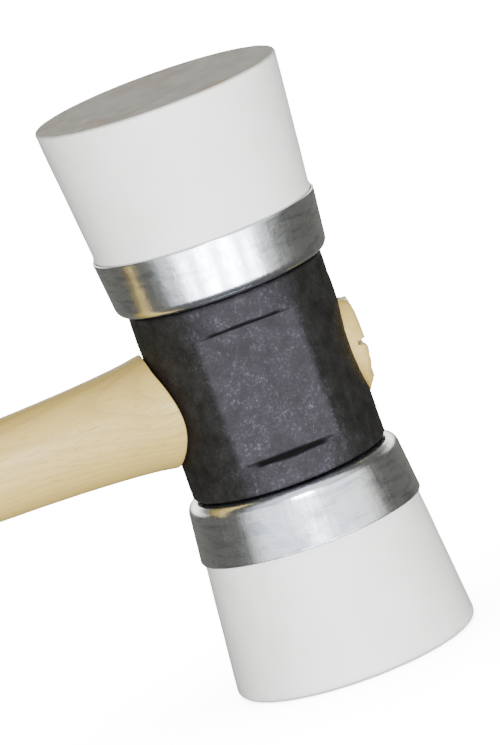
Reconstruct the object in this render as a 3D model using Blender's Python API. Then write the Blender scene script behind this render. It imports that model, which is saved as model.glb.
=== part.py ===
"""Rubber mallet: a cast-iron head with two screw-in rubber tips and a wedged wooden handle.

Metres, +Z up. The origin is the centre of the lower striking face, +Z runs along the head
to the upper striking face, and the handle points along -X.
"""
import math

import bmesh
import bpy
from mathutils import Matrix, Vector

MM = 0.001
TOUCH_GAP = 0.3 * MM            # clearance between pieces that rest on each other

# Head as a whole
HEAD_LENGTH = 180.0 * MM        # from striking face to striking face
ROUND_SEGMENTS = 48             # facets around the large round pieces
SMALL_SEGMENTS = 24             # facets around bolts and plates
ROUNDING_STEPS = 4              # facets across a rounded edge

# Rubber striking face, measured from the striking plane inwards
FACE_RADIUS = 37.5 * MM
RUBBER_LIP_RADIUS = 33.4 * MM   # where the rubber enters its cup
LOWER_EDGE_RADIUS = 2.2 * MM    # the lower face is the more worn one
UPPER_EDGE_RADIUS = 1.0 * MM

# Pressed ferrule cup
CUP_LIP_DEPTH = 42.2 * MM
CUP_BASE_DEPTH = 60.2 * MM
CUP_LIP_RADIUS = 34.5 * MM
CUP_WALL_ANGLE = math.radians(6.0)
CUP_CORNER_RADIUS = 3.2 * MM
CUP_SHEET = 0.8 * MM

# Anchor plate moulded into the rubber, and the holes that the rubber grows through
PLATE_DEPTH = 50.0 * MM
PLATE_THICKNESS = 3.0 * MM
PLATE_RADIUS = 26.0 * MM
PLATE_HOLE_RADIUS = 3.6 * MM
PLATE_HOLE_CIRCLE = 20.0 * MM
PLATE_HOLES = 6
COLUMN_OVERRUN = 1.0 * MM       # of the rubber in each hole, into the rubber above and below

# Tip bolt and the tapped bore it screws into
BOLT_RADIUS = 8.0 * MM
BOLT_CLEARANCE = 0.4 * MM
BOLT_HEAD_RADIUS = 13.0 * MM
BOLT_HEAD_HEIGHT = 5.0 * MM
BOLT_CHAMFER = 1.0 * MM
THREAD_PITCH = 2.0 * MM
TURNS_TO_FREE = 6               # the tip comes off after this many turns
BORE_BOTTOM_GAP = 0.6 * MM      # bore left beyond the length that the bolt needs

# Toothed lock washer, sunk in a counterbore of the casting
WASHER_RADIUS = 14.0 * MM
WASHER_ROOT_RADIUS = 12.2 * MM
WASHER_BORE_RADIUS = 8.6 * MM
WASHER_THICKNESS = 1.2 * MM
WASHER_TEETH = 12
COUNTERBORE_DEPTH = 1.2 * MM
COUNTERBORE_RADIUS = 14.6 * MM

# Head casting
BODY_RADIUS = 30.2 * MM
BODY_END_DEPTH = CUP_BASE_DEPTH + TOUCH_GAP * 2 + WASHER_THICKNESS - COUNTERBORE_DEPTH
BODY_END_ROUNDING = 2.2 * MM
CHEEK_DISTANCE = 26.4 * MM      # from the head's axis to each cheek flat
CHEEK_HALF_HEIGHT = 19.8 * MM
CHEEK_LEDGE_RUN = 1.7 * MM      # height of the slope at each end of a cheek flat

# Eye and handle tenon, an upright oval
EYE_HEIGHT = 28.0 * MM
EYE_WIDTH = 21.0 * MM
EYE_SEGMENTS = 32
TENON_STANDOUT = 3.0 * MM       # beyond the casting's far side
TENON_ROUNDING = 1.6 * MM       # of the tenon's end
TENON_NOTCH_DEPTH = 2.7 * MM
TENON_NOTCH_HEIGHT = 4.4 * MM

# Handle: distance from the head's axis, height along Z and width along Y of each section
HANDLE_LENGTH = 300.0 * MM
HANDLE_SECTIONS = (
    (36.0 * MM, 34.0 * MM, 33.0 * MM),
    (42.0 * MM, 32.7 * MM, 30.8 * MM),
    (50.0 * MM, 31.5 * MM, 28.9 * MM),
    (60.0 * MM, 30.4 * MM, 27.2 * MM),
    (76.0 * MM, 29.3 * MM, 25.8 * MM),
    (100.0 * MM, 28.7 * MM, 25.0 * MM),
    (140.0 * MM, 28.9 * MM, 25.2 * MM),
    (190.0 * MM, 30.2 * MM, 26.4 * MM),
    (235.0 * MM, 31.8 * MM, 28.0 * MM),
    (270.0 * MM, 32.6 * MM, 28.8 * MM),
    (293.0 * MM, 32.0 * MM, 28.2 * MM),
)
SHOULDER_HEIGHT = 35.4 * MM
SHOULDER_WIDTH = 34.8 * MM
SHOULDER_ROUNDING = 3.0 * MM    # of the coped edge that meets the casting
BUTT_ROUNDING = 7.0 * MM
HANDLE_SEGMENTS = 32

# Wedges in the tenon
LONG_KERF_TIP = -6.0 * MM       # the kerf's closed end, along X
WOOD_WEDGE_BACK = 5.0 * MM      # thickness at the driven end
WOOD_WEDGE_TIP = 1.2 * MM
WOOD_WEDGE_HEIGHT = 25.0 * MM
STEEL_WEDGE_TIP = 12.0 * MM
STEEL_WEDGE_BACK = 3.0 * MM
STEEL_WEDGE_EDGE = 0.8 * MM
STEEL_WEDGE_WIDTH = 17.0 * MM
CROSS_KERF_OVERRUN = 0.5 * MM   # past the floor of the notch that the kerf opens into
CUTTER_REACH = 4.0 * MM         # how far a cutter runs past the surface that it opens

HEAD_MIDDLE = HEAD_LENGTH / 2
TENON_END = BODY_RADIUS + TENON_STANDOUT
NOTCH_FLOOR = TENON_END - TENON_NOTCH_DEPTH
BORE_DEPTH = THREAD_PITCH * TURNS_TO_FREE + BORE_BOTTOM_GAP
BOLT_END_DEPTH = BODY_END_DEPTH + THREAD_PITCH * TURNS_TO_FREE - TOUCH_GAP


# ---------------------------------------------------------------- materials

def make_material(name, colour, roughness, metallic=0.0):
    material = bpy.data.materials.new(name)
    material.use_nodes = True
    shader = material.node_tree.nodes["Principled BSDF"]
    shader.inputs["Base Color"].default_value = (*colour, 1.0)
    shader.inputs["Roughness"].default_value = roughness
    shader.inputs["Metallic"].default_value = metallic
    material.diffuse_color = (*colour, 1.0)
    return material


def make_materials():
    return {
        "cast_iron": make_material("cast_iron", (0.045, 0.045, 0.047), 0.72, 0.5),
        "ash_wood": make_material("ash_wood", (0.66, 0.55, 0.38), 0.50),
        "wedge_wood": make_material("wedge_wood", (0.50, 0.38, 0.24), 0.60),
        "white_rubber": make_material("white_rubber", (0.72, 0.71, 0.68), 0.60),
        "pressed_steel": make_material("pressed_steel", (0.62, 0.62, 0.60), 0.30, 1.0),
        "plain_steel": make_material("plain_steel", (0.42, 0.42, 0.42), 0.40, 1.0),
    }


# ---------------------------------------------------------------- mesh helpers

def add_object(name, mesh, material, parent=None):
    item = bpy.data.objects.new(name, mesh)
    bpy.context.scene.collection.objects.link(item)
    item.parent = parent
    if material is not None:
        mesh.materials.append(material)
    return item


def mesh_from(name, vertices, faces, smooth_angle=math.radians(35)):
    """Closed mesh with outward faces, shaded smooth up to the given angle."""
    shape = bmesh.new()
    corners = [shape.verts.new(vertex) for vertex in vertices]
    for face in faces:
        shape.faces.new([corners[index] for index in face])
    bmesh.ops.recalc_face_normals(shape, faces=shape.faces)
    mesh = bpy.data.meshes.new(name)
    shape.to_mesh(mesh)
    shape.free()
    mesh.shade_smooth()
    mesh.set_sharp_from_angle(angle=smooth_angle)
    return mesh


def turned_mesh(name, profile, segments):
    """Turn a closed profile of (radius, height) pairs about Z; radius 0 makes a pole."""
    vertices = []
    rings = []
    for radius, height in profile:
        if radius == 0.0:
            rings.append([len(vertices)] * segments)
            vertices.append((0.0, 0.0, height))
            continue
        rings.append(list(range(len(vertices), len(vertices) + segments)))
        for step in range(segments):
            angle = 2 * math.pi * step / segments
            vertices.append((radius * math.cos(angle), radius * math.sin(angle), height))
    faces = []
    for index, ring in enumerate(rings):
        following = rings[(index + 1) % len(rings)]
        for step in range(segments):
            turn = (step + 1) % segments
            corners = [ring[step], ring[turn], following[turn], following[step]]
            distinct = list(dict.fromkeys(corners))
            if len(distinct) > 2:
                faces.append(distinct)
    return mesh_from(name, vertices, faces)


def lofted_mesh(name, sections):
    """Skin rings with equal point counts and close both ends with a flat cap."""
    vertices = [point for section in sections for point in section]
    count = len(sections[0])
    faces = [list(range(count)), list(range(len(vertices) - count, len(vertices)))]
    for index in range(len(sections) - 1):
        base = index * count
        for step in range(count):
            turn = (step + 1) % count
            faces.append([base + step, base + turn, base + count + turn, base + count + step])
    return mesh_from(name, vertices, faces)


def arc_points(centre, radius, start_deg, end_deg, steps):
    """Points of a circular arc in the (radius, height) plane, both ends included."""
    points = []
    for step in range(steps + 1):
        angle = math.radians(start_deg + (end_deg - start_deg) * step / steps)
        points.append((centre[0] + radius * math.cos(angle), centre[1] + radius * math.sin(angle)))
    return points


def oval_ring(x, height, width, middle, segments):
    """Ellipse in the plane at x, upright along Z, centred on the given height."""
    ring = []
    for step in range(segments):
        angle = 2 * math.pi * step / segments
        ring.append((x, width / 2 * math.cos(angle), middle + height / 2 * math.sin(angle)))
    return ring


def cut(target, cutter_name, cutter_mesh, parent=None, operation="DIFFERENCE"):
    """Boolean modifier on target, whose cutter stays in the scene as a hidden guide."""
    cutter = add_object(cutter_name, cutter_mesh, None, parent)
    cutter.hide_render = True
    cutter.display_type = "WIRE"
    modifier = target.modifiers.new(cutter_name, "BOOLEAN")
    modifier.operation = operation
    modifier.solver = "EXACT"
    modifier.object = cutter


# ---------------------------------------------------------------- head casting

def casting_profile():
    """Half section of the casting before the eye and cheeks, with both tapped bores."""
    bore_radius = BOLT_RADIUS + BOLT_CLEARANCE
    rise = BODY_END_DEPTH + BODY_END_ROUNDING
    lower = [
        (0.0, BODY_END_DEPTH + BORE_DEPTH),
        (bore_radius, BODY_END_DEPTH + BORE_DEPTH),
        (bore_radius, BODY_END_DEPTH + COUNTERBORE_DEPTH),
        (COUNTERBORE_RADIUS, BODY_END_DEPTH + COUNTERBORE_DEPTH),
        (COUNTERBORE_RADIUS, BODY_END_DEPTH),
    ]
    edge_centre = (BODY_RADIUS - BODY_END_ROUNDING, rise)
    lower += arc_points(edge_centre, BODY_END_ROUNDING, -90, 0, ROUNDING_STEPS)
    upper = [(radius, HEAD_LENGTH - height) for radius, height in reversed(lower)]
    return lower + upper


def cheek_cutter_mesh(side):
    """Block that leaves a flat cheek with a slope at its upper and lower end."""
    outside = BODY_RADIUS + CUTTER_REACH
    overshoot = (outside - CHEEK_DISTANCE) * CHEEK_LEDGE_RUN / (BODY_RADIUS - CHEEK_DISTANCE)
    sections = []
    for x in (-BODY_RADIUS, BODY_RADIUS):
        sections.append([
            (x, side * CHEEK_DISTANCE, HEAD_MIDDLE - CHEEK_HALF_HEIGHT),
            (x, side * outside, HEAD_MIDDLE - CHEEK_HALF_HEIGHT - overshoot),
            (x, side * outside, HEAD_MIDDLE + CHEEK_HALF_HEIGHT + overshoot),
            (x, side * CHEEK_DISTANCE, HEAD_MIDDLE + CHEEK_HALF_HEIGHT),
        ])
    return lofted_mesh("cheek_cutter", sections)


def make_head_casting(material):
    mesh = turned_mesh("head_casting", casting_profile(), ROUND_SEGMENTS)
    casting = add_object("head_casting", mesh, material)
    reach = BODY_RADIUS + CUTTER_REACH
    eye = lofted_mesh("eye_cutter", [
        oval_ring(x, EYE_HEIGHT, EYE_WIDTH, HEAD_MIDDLE, EYE_SEGMENTS) for x in (-reach, reach)
    ])
    cut(casting, "eye_cutter", eye)
    cut(casting, "front_cheek_cutter", cheek_cutter_mesh(-1))
    cut(casting, "back_cheek_cutter", cheek_cutter_mesh(1))


# ---------------------------------------------------------------- handle and wedges

def shoulder_ring(distance):
    """Ring of the shoulder that keeps this distance to the casting's round side."""
    depth = max(0.0, SHOULDER_ROUNDING - max(distance, 0.0))
    inset = SHOULDER_ROUNDING - math.sqrt(SHOULDER_ROUNDING ** 2 - depth ** 2)
    height = SHOULDER_HEIGHT - 2 * inset
    width = SHOULDER_WIDTH - 2 * inset
    ring = oval_ring(0.0, height, width, HEAD_MIDDLE, HANDLE_SEGMENTS)
    return [(-math.sqrt(BODY_RADIUS ** 2 - y ** 2) - distance, y, z) for _, y, z in ring]


def handle_rings():
    """Rings of the turned handle, from inside the casting's outline to its rounded butt."""
    rings = [shoulder_ring(-SHOULDER_ROUNDING)]
    for step in range(ROUNDING_STEPS + 1):
        rings.append(shoulder_ring(TOUCH_GAP + SHOULDER_ROUNDING * step / ROUNDING_STEPS))
    for distance, height, width in HANDLE_SECTIONS:
        rings.append(oval_ring(-distance, height, width, HEAD_MIDDLE, HANDLE_SEGMENTS))
    _, height, width = HANDLE_SECTIONS[-1]
    for step in range(1, ROUNDING_STEPS + 1):
        angle = math.pi / 2 * step / ROUNDING_STEPS
        inset = BUTT_ROUNDING * (1 - math.cos(angle))
        x = BUTT_ROUNDING * (1 - math.sin(angle)) - HANDLE_LENGTH
        rings.append(oval_ring(x, height - 2 * inset, width - 2 * inset, HEAD_MIDDLE, HANDLE_SEGMENTS))
    return rings


def wedge_mesh(name, tip_x, back_x, tip_thickness, back_thickness, breadth, across, clearance=0.0):
    """Tapered wedge along X. across is the axis of its thickness: 'Y' or 'Z'."""
    tip_x -= clearance
    tip_thickness += 2 * clearance
    back_thickness += 2 * clearance
    breadth += 2 * clearance
    sections = []
    for x, thickness in ((tip_x, tip_thickness), (back_x, back_thickness)):
        section = []
        for thick_side, broad_side in ((-1, -1), (1, -1), (1, 1), (-1, 1)):
            thick = thick_side * thickness / 2
            broad = broad_side * breadth / 2
            y, z = (thick, broad) if across == "Y" else (broad, thick)
            section.append((x, y, HEAD_MIDDLE + z))
        sections.append(section)
    return lofted_mesh(name, sections)


def wedge_thickness(x, tip_x, tip_thickness, back_x, back_thickness):
    """Thickness of a wedge at x, continued past its back if x lies there."""
    share = (x - tip_x) / (back_x - tip_x)
    return tip_thickness + share * (back_thickness - tip_thickness)


def notch_mesh():
    """V groove across the tenon's end."""
    slope = TENON_NOTCH_HEIGHT / 2 / TENON_NOTCH_DEPTH
    rise = slope * (TENON_NOTCH_DEPTH + CUTTER_REACH)
    sections = []
    for y in (-EYE_WIDTH, EYE_WIDTH):
        sections.append([
            (NOTCH_FLOOR, y, HEAD_MIDDLE),
            (TENON_END + CUTTER_REACH, y, HEAD_MIDDLE - rise),
            (TENON_END + CUTTER_REACH, y, HEAD_MIDDLE + rise),
        ])
    return lofted_mesh("notch_cutter", sections)


def seat_mesh():
    """Round plug of the casting's shape, which copes the shoulder to it."""
    reach = BODY_RADIUS + TOUCH_GAP
    low = HEAD_MIDDLE - EYE_HEIGHT
    high = HEAD_MIDDLE + EYE_HEIGHT
    profile = [(0.0, low), (reach, low), (reach, high), (0.0, high)]
    return turned_mesh("seat_cutter", profile, ROUND_SEGMENTS)


def tenon_mesh():
    """Oval tenon that fills the eye and stands out of its far side."""
    height = EYE_HEIGHT - 2 * TOUCH_GAP
    width = EYE_WIDTH - 2 * TOUCH_GAP
    sections = (
        (-BODY_RADIUS - SHOULDER_ROUNDING, 0.0),
        (TENON_END - TENON_ROUNDING, 0.0),
        (TENON_END - 0.3 * TENON_ROUNDING, 0.3 * TENON_ROUNDING),
        (TENON_END, TENON_ROUNDING),
    )
    return lofted_mesh("tenon", [
        oval_ring(x, height - 2 * inset, width - 2 * inset, HEAD_MIDDLE, EYE_SEGMENTS)
        for x, inset in sections
    ])


def long_kerf_mesh():
    """Cutter for the kerf that the wood wedge fills, open above, below and at the tenon's end."""
    back_x = TENON_END + CUTTER_REACH
    back_thickness = wedge_thickness(back_x, LONG_KERF_TIP, WOOD_WEDGE_TIP, TENON_END, WOOD_WEDGE_BACK)
    return wedge_mesh(
        "long_kerf", LONG_KERF_TIP, back_x, WOOD_WEDGE_TIP, back_thickness,
        2 * EYE_HEIGHT, "Y", TOUCH_GAP)


def cross_kerf_mesh(name):
    """Cutter for the kerf across the tenon, from its tip to just past the notch's floor."""
    back_x = NOTCH_FLOOR + CROSS_KERF_OVERRUN
    back_thickness = wedge_thickness(
        back_x, STEEL_WEDGE_TIP, STEEL_WEDGE_EDGE, NOTCH_FLOOR, STEEL_WEDGE_BACK)
    return wedge_mesh(
        name, STEEL_WEDGE_TIP, back_x, STEEL_WEDGE_EDGE, back_thickness, 2 * EYE_WIDTH, "Z", TOUCH_GAP)


def make_handle(material):
    handle = add_object("handle", lofted_mesh("handle", handle_rings()), material)
    cut(handle, "seat_cutter", seat_mesh())
    cut(handle, "tenon_shape", tenon_mesh(), operation="UNION")
    cut(handle, "long_kerf", long_kerf_mesh())
    cut(handle, "cross_kerf", cross_kerf_mesh("cross_kerf"))
    cut(handle, "handle_notch", notch_mesh())


def make_wood_wedge(material):
    mesh = wedge_mesh(
        "wood_wedge", LONG_KERF_TIP + TOUCH_GAP, TENON_END - TOUCH_GAP, WOOD_WEDGE_TIP,
        WOOD_WEDGE_BACK, WOOD_WEDGE_HEIGHT, "Y")
    wedge = add_object("wood_wedge", mesh, material)
    cut(wedge, "wood_wedge_kerf", cross_kerf_mesh("wood_wedge_kerf"))
    cut(wedge, "wood_wedge_notch", notch_mesh())


def make_steel_wedge(material):
    mesh = wedge_mesh(
        "steel_wedge", STEEL_WEDGE_TIP + TOUCH_GAP, NOTCH_FLOOR, STEEL_WEDGE_EDGE,
        STEEL_WEDGE_BACK, STEEL_WEDGE_WIDTH, "Z")
    add_object("steel_wedge", mesh, material)


# ---------------------------------------------------------------- striking tips

def cup_outer_radius(depth):
    return CUP_LIP_RADIUS - math.tan(CUP_WALL_ANGLE) * (depth - CUP_LIP_DEPTH)


def rubber_profile(edge_radius):
    """Half section of the rubber, with the cavity for plate, bolt head and shank."""
    floor = CUP_BASE_DEPTH - CUP_SHEET - TOUCH_GAP
    skin = CUP_SHEET + TOUCH_GAP
    corner = CUP_CORNER_RADIUS - skin
    plate_near = PLATE_DEPTH - TOUCH_GAP
    plate_far = PLATE_DEPTH + PLATE_THICKNESS + TOUCH_GAP
    shank = BOLT_RADIUS + TOUCH_GAP
    head = BOLT_HEAD_RADIUS + TOUCH_GAP
    profile = [(0.0, 0.0)]
    profile += arc_points((FACE_RADIUS - edge_radius, edge_radius), edge_radius, -90, 0, ROUNDING_STEPS)
    profile += [
        (RUBBER_LIP_RADIUS, CUP_LIP_DEPTH),
        (cup_outer_radius(floor - corner) - skin, floor - corner),
    ]
    corner_centre = (cup_outer_radius(floor - corner) - skin - corner, floor - corner)
    profile += arc_points(corner_centre, corner, 30, 90, 2)
    profile += [
        (shank, floor),
        (shank, plate_far),
        (PLATE_RADIUS + TOUCH_GAP, plate_far),
        (PLATE_RADIUS + TOUCH_GAP, plate_near),
        (head, plate_near),
        (head, PLATE_DEPTH - BOLT_HEAD_HEIGHT - 2 * TOUCH_GAP),
        (0.0, PLATE_DEPTH - BOLT_HEAD_HEIGHT - 2 * TOUCH_GAP),
    ]
    return profile


def plate_hole_places():
    for hole in range(PLATE_HOLES):
        angle = 2 * math.pi * hole / PLATE_HOLES
        yield PLATE_HOLE_CIRCLE * math.cos(angle), PLATE_HOLE_CIRCLE * math.sin(angle)


def columns_mesh(name, radius):
    """Separate columns on the anchor plate's hole circle, a little longer than its thickness."""
    segments = 12
    low = PLATE_DEPTH - COLUMN_OVERRUN
    high = PLATE_DEPTH + PLATE_THICKNESS + COLUMN_OVERRUN
    vertices = []
    faces = []
    for x, y in plate_hole_places():
        base = len(vertices)
        for height in (low, high):
            for step in range(segments):
                angle = 2 * math.pi * step / segments
                vertices.append((x + radius * math.cos(angle), y + radius * math.sin(angle), height))
        faces.append(list(range(base, base + segments)))
        faces.append(list(range(base + segments, base + 2 * segments)))
        for step in range(segments):
            turn = (step + 1) % segments
            faces.append([base + step, base + turn, base + segments + turn, base + segments + step])
    return mesh_from(name, vertices, faces)


def cup_profile():
    """Half section of the pressed cup, open at its lip, with the bolt hole in its base."""
    corner_height = CUP_BASE_DEPTH - CUP_CORNER_RADIUS
    corner_centre = (cup_outer_radius(corner_height) - CUP_CORNER_RADIUS, corner_height)
    hole = BOLT_RADIUS + BOLT_CLEARANCE
    inner_corner = CUP_CORNER_RADIUS - CUP_SHEET
    outside = [(CUP_LIP_RADIUS, CUP_LIP_DEPTH)]
    outside += arc_points(corner_centre, CUP_CORNER_RADIUS, 0, 90, ROUNDING_STEPS)
    outside.append((hole, CUP_BASE_DEPTH))
    inside = [(hole, CUP_BASE_DEPTH - CUP_SHEET)]
    inside += arc_points(corner_centre, inner_corner, 90, 0, ROUNDING_STEPS)
    inside.append((CUP_LIP_RADIUS - CUP_SHEET, CUP_LIP_DEPTH))
    return outside + inside


def bolt_profile():
    head_near = PLATE_DEPTH - TOUCH_GAP - BOLT_HEAD_HEIGHT
    return [
        (0.0, head_near),
        (BOLT_HEAD_RADIUS - BOLT_CHAMFER, head_near),
        (BOLT_HEAD_RADIUS, head_near + BOLT_CHAMFER),
        (BOLT_HEAD_RADIUS, PLATE_DEPTH - TOUCH_GAP),
        (BOLT_RADIUS, PLATE_DEPTH - TOUCH_GAP),
        (BOLT_RADIUS, BOLT_END_DEPTH - BOLT_CHAMFER),
        (BOLT_RADIUS - BOLT_CHAMFER, BOLT_END_DEPTH),
        (0.0, BOLT_END_DEPTH),
    ]


def washer_mesh():
    """Flat ring with square teeth around its rim."""
    near = CUP_BASE_DEPTH + TOUCH_GAP
    far = near + WASHER_THICKNESS
    steps_per_tooth = 4
    count = WASHER_TEETH * steps_per_tooth
    vertices = []
    for height in (near, far):
        for toothed in (True, False):
            for step in range(count):
                angle = 2 * math.pi * step / count
                outer = WASHER_RADIUS if step % steps_per_tooth < 2 else WASHER_ROOT_RADIUS
                radius = outer if toothed else WASHER_BORE_RADIUS
                vertices.append((radius * math.cos(angle), radius * math.sin(angle), height))
    faces = []
    for step in range(count):
        turn = (step + 1) % count
        near_outer, near_inner, far_outer, far_inner = (ring * count for ring in range(4))
        faces.append([near_outer + step, near_outer + turn, near_inner + turn, near_inner + step])
        faces.append([far_outer + step, far_outer + turn, far_inner + turn, far_inner + step])
        faces.append([near_outer + step, near_outer + turn, far_outer + turn, far_outer + step])
        faces.append([near_inner + step, near_inner + turn, far_inner + turn, far_inner + step])
    return mesh_from("lock_washer", vertices, faces)


def plate_profile():
    hole = BOLT_RADIUS + TOUCH_GAP
    return [
        (hole, PLATE_DEPTH),
        (PLATE_RADIUS, PLATE_DEPTH),
        (PLATE_RADIUS, PLATE_DEPTH + PLATE_THICKNESS),
        (hole, PLATE_DEPTH + PLATE_THICKNESS),
    ]


def make_tip(end, edge_radius, placement, materials):
    """One screw-in tip. Its own frame has the striking face at 0 and the casting at +Z."""
    axis = bpy.data.objects.new(end + "_tip_axis", None)
    bpy.context.scene.collection.objects.link(axis)
    axis.matrix_world = placement

    rubber_mesh = turned_mesh("rubber_face", rubber_profile(edge_radius), ROUND_SEGMENTS)
    rubber = add_object(end + "_rubber_face", rubber_mesh, materials["white_rubber"], axis)
    columns = columns_mesh("rubber_columns", PLATE_HOLE_RADIUS - TOUCH_GAP)
    cut(rubber, end + "_rubber_columns", columns, axis, "UNION")

    plate_mesh = turned_mesh("anchor_plate", plate_profile(), SMALL_SEGMENTS)
    plate = add_object(end + "_anchor_plate", plate_mesh, materials["plain_steel"], axis)
    holes = columns_mesh("plate_holes", PLATE_HOLE_RADIUS)
    cut(plate, end + "_plate_holes", holes, axis)

    cup_mesh = turned_mesh("ferrule_cup", cup_profile(), ROUND_SEGMENTS)
    add_object(end + "_ferrule_cup", cup_mesh, materials["pressed_steel"], axis)
    bolt_mesh = turned_mesh("tip_bolt", bolt_profile(), SMALL_SEGMENTS)
    add_object(end + "_tip_bolt", bolt_mesh, materials["plain_steel"], axis)
    add_object(end + "_lock_washer", washer_mesh(), materials["plain_steel"], axis)


# ---------------------------------------------------------------- assembly

def main():
    for item in list(bpy.data.objects):
        bpy.data.objects.remove(item, do_unlink=True)
    materials = make_materials()
    make_head_casting(materials["cast_iron"])
    make_handle(materials["ash_wood"])
    make_wood_wedge(materials["wedge_wood"])
    make_steel_wedge(materials["plain_steel"])
    upright = Matrix.Identity(4)
    turned_over = Matrix.Translation(Vector((0, 0, HEAD_LENGTH))) @ Matrix.Rotation(math.pi, 4, "X")
    make_tip("lower", LOWER_EDGE_RADIUS, upright, materials)
    make_tip("upper", UPPER_EDGE_RADIUS, turned_over, materials)
    bpy.context.view_layer.update()


main()
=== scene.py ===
"""Looks of the rubber mallet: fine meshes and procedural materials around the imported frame.

Metres, +Z up, the same frame as the CAD: the lower striking face is centred on the origin, +Z runs
along the head to the upper striking face, and the handle points along -X.
"""
import itertools
import math

import bmesh
import bpy
from mathutils import Matrix, Vector, noise


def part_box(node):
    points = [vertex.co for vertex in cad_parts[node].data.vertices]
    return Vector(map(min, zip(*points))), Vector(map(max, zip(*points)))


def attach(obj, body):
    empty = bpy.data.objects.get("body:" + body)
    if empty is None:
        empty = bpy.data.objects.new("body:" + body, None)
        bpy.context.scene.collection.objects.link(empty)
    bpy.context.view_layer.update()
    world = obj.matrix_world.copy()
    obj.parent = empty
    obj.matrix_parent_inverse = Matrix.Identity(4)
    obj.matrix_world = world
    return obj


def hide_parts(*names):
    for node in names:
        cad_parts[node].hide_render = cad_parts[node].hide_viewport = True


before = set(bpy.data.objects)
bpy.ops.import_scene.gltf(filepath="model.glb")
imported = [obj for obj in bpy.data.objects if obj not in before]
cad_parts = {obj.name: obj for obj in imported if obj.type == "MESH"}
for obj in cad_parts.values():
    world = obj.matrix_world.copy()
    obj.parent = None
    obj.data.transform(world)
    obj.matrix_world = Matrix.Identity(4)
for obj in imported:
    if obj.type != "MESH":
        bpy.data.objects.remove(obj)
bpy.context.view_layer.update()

MM = 0.001
GAP = 0.3 * MM                  # clearance that the CAD leaves between touching pieces

# Places and sizes read from the frame
FACE_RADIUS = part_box("lower_rubber_face")[1].x
HEAD_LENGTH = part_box("upper_rubber_face")[1].z
HEAD_MIDDLE = HEAD_LENGTH / 2
RUBBER_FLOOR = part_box("lower_rubber_face")[1].z
CUP_LIP_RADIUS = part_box("lower_ferrule_cup")[1].x
CUP_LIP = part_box("lower_ferrule_cup")[0].z
CUP_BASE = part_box("lower_ferrule_cup")[1].z
WASHER_LOW, WASHER_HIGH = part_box("lower_lock_washer")
BODY_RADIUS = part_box("head_casting")[1].x
BODY_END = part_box("head_casting")[0].z
PLATE_LOW, PLATE_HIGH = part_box("lower_anchor_plate")
BOLT_LOW, BOLT_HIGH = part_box("lower_tip_bolt")
TENON_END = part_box("handle")[1].x
BUTT_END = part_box("handle")[0].x

# Fineness of the meshes: points around, and the longest stretch along a turned outline
CASTING_SEGMENTS = 300
CASTING_STRETCH = 0.6 * MM
RUBBER_SEGMENTS = 240
RUBBER_STRETCH = 1.2 * MM
CUP_SEGMENTS = 288
CUP_STRETCH = 0.7 * MM
BOLT_SEGMENTS = 72
BOLT_STRETCH = 0.2 * MM
EYE_SEGMENTS = 96
HANDLE_SEGMENTS = 120
HANDLE_SPACING = 2.0 * MM       # between the handle's rings
SHOULDER_RINGS = 10
TENON_RINGS = 30
BUTT_STEPS = 12                 # rings over the butt's rounding
EDGE_STEPS = 8                  # and over each rounded edge of handle, rubber and cup
SHARP_ANGLE = 40                # degrees; an edge flatter than this is shaded smooth

# Shapes inside those boxes: the CAD's, but for rounded edges, the cheeks' ledges, the shoulder, the
# end of the tenon and the steel wedge, which follow the photograph more closely
LOWER_FACE_ROUNDING = 2.2 * MM
UPPER_FACE_ROUNDING = 1.0 * MM
LOWER_SEED = 0.0                # of the tips' unevenness, so that they aren't alike
UPPER_SEED = 3.7
RUBBER_LIP_RADIUS = 33.4 * MM
CUP_WALL_ANGLE = math.radians(6.0)
CUP_CORNER_RADIUS = 3.2 * MM
CUP_SHEET = 0.8 * MM
BOLT_RADIUS = 8.0 * MM
BORE_RADIUS = 8.4 * MM
BORE_DEPTH = 12.6 * MM
COUNTERBORE_RADIUS = 14.6 * MM
COUNTERBORE_DEPTH = 1.2 * MM
THREAD_PITCH = 2.0 * MM
THREAD_DEPTH = 1.15 * MM
WASHER_BORE_RADIUS = 8.6 * MM
WASHER_TEETH = 12
TOOTH_STEPS = 8                 # points along each tooth and the gap beside it
TOOTH_LENGTH = 1.8 * MM
TOOTH_TWIST = 0.22 * MM
TOOTH_THINNING = 0.25 * MM
CHEEK_DISTANCE = 26.4 * MM
CHEEK_HALF_HEIGHT = 19.8 * MM
CHEEK_LEDGE_RUN = 1.2 * MM
CHEEK_EDGE_BLEND = 0.35 * MM
LEDGE_MIDDLE = 20.4 * MM        # height of the cheeks' ledges above and below the head's middle
BODY_END_ROUNDING = 1.3 * MM
CAST_SWELLS = 0.15 * MM         # height of the casting's unevenness, and of its finer roughness
CAST_GRIT = 0.06 * MM
EYE_HEIGHT = 28.0 * MM
EYE_WIDTH = 21.0 * MM
HANDLE_UNEVENNESS = 0.10 * MM
BUTT_ROUNDING = 7.0 * MM
GRIP_END = BUTT_END + BUTT_ROUNDING
SHOULDER_START = -40.0 * MM     # from here the handle's rings start to follow the casting
SHOULDER_FLARE = (              # (x, height, width) nearer the casting
    (-36.0 * MM, 34.0 * MM, 33.0 * MM),
    (-33.0 * MM, 35.0 * MM, 34.0 * MM),
    (-30.0 * MM, 35.7 * MM, 34.7 * MM),
    (-24.0 * MM, 36.1 * MM, 35.1 * MM),
)
SHOULDER_ROUNDING_ABOVE = 0.7 * MM
SHOULDER_ROUNDING_BELOW = 1.3 * MM
SHOULDER_CREVICE = 0.8 * MM     # widest opening beside the casting, above the middle
SHOULDER_LEAN = 0.035           # share by which the shoulder is narrower above and fuller below
TENON_START = -24.0 * MM
TENON_ROUNDING = 1.8 * MM       # of its end, and the run of that rounding along X
TENON_ROUNDING_RUN = 2.5 * MM
LONG_KERF_TIP = -6.0 * MM
WOOD_WEDGE_BACK = 5.0 * MM
WOOD_WEDGE_TIP = 1.2 * MM
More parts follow.
